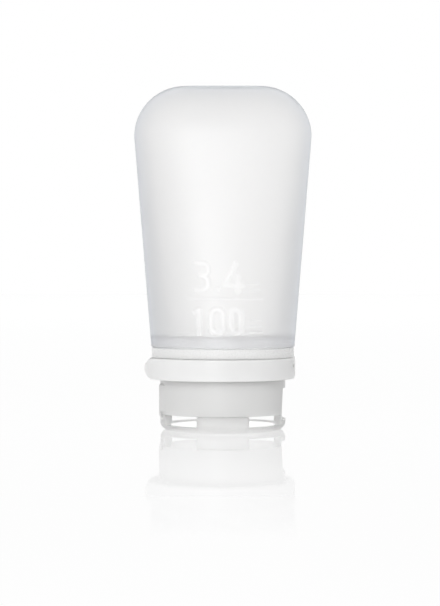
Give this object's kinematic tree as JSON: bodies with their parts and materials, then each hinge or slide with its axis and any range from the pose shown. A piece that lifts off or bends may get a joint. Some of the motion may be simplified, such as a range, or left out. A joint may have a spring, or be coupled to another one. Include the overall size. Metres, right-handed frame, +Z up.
{
  "type": "travel silicone bottle",
  "caption": "Soft squeeze bottle that stands on its flip lid, with a threaded cap, a slit valve in the spout and a swinging hang loop around its collar.",
  "frame": {"origin": "on the bottle's axis, at the lid's outer face that it stands on", "axes": "+Z up along the bottle's axis from the lid to the closed end; the marked front faces -Y; the hang loop's hinge is at +X and the lid's hinge at -X"},
  "size_m": [0.0594, 0.0502, 0.1147],
  "materials": {
    "silicone": "milky translucent silicone, satin",
    "collar_plastic": "smooth semi-gloss",
    "loop_plastic": "smooth semi-gloss, slightly translucent",
    "frosted_plastic": "frosted translucent",
    "clear_plastic": "smooth",
    "valve_silicone": "soft satin silicone"
  },
  "bodies": {
    "bottle": {"squeeze_body": "silicone", "neck_insert": "clear_plastic", "collar": "collar_plastic"},
    "loop": {"hang_loop": "loop_plastic"},
    "gasket": {"cap_gasket": "valve_silicone"},
    "cap": {"screw_cap": "frosted_plastic", "flow_valve": "valve_silicone", "valve_retainer": "clear_plastic"},
    "lid": {"flip_lid": "frosted_plastic"}
  },
  "joints": [
    {"name": "loop_swing", "type": "hinge", "parent": "bottle", "child": "loop", "pos_m": [0.0224, 0, 0.0197], "axis": [0, -1, 0], "range_deg": [0, 110]},
    {"name": "cap_travel", "type": "slide", "parent": "bottle", "child": "gasket", "axis": [0, 0, -1], "range_m": [0, 0.00401]},
    {"name": "cap_turn", "type": "hinge", "parent": "gasket", "child": "cap", "pos_m": [0, 0, 0.01], "axis": [0, 0, -1], "range_deg": [0, 450]},
    {"name": "lid_open", "type": "hinge", "parent": "cap", "child": "lid", "pos_m": [-0.0199, 0, 0.0055], "axis": [0, 1, 0], "range_deg": [0, 115]}
  ],
  "couplings": [
    {"joint": "cap_travel", "follows": "cap_turn", "m_per_rad": 0.0005093}
  ]
}
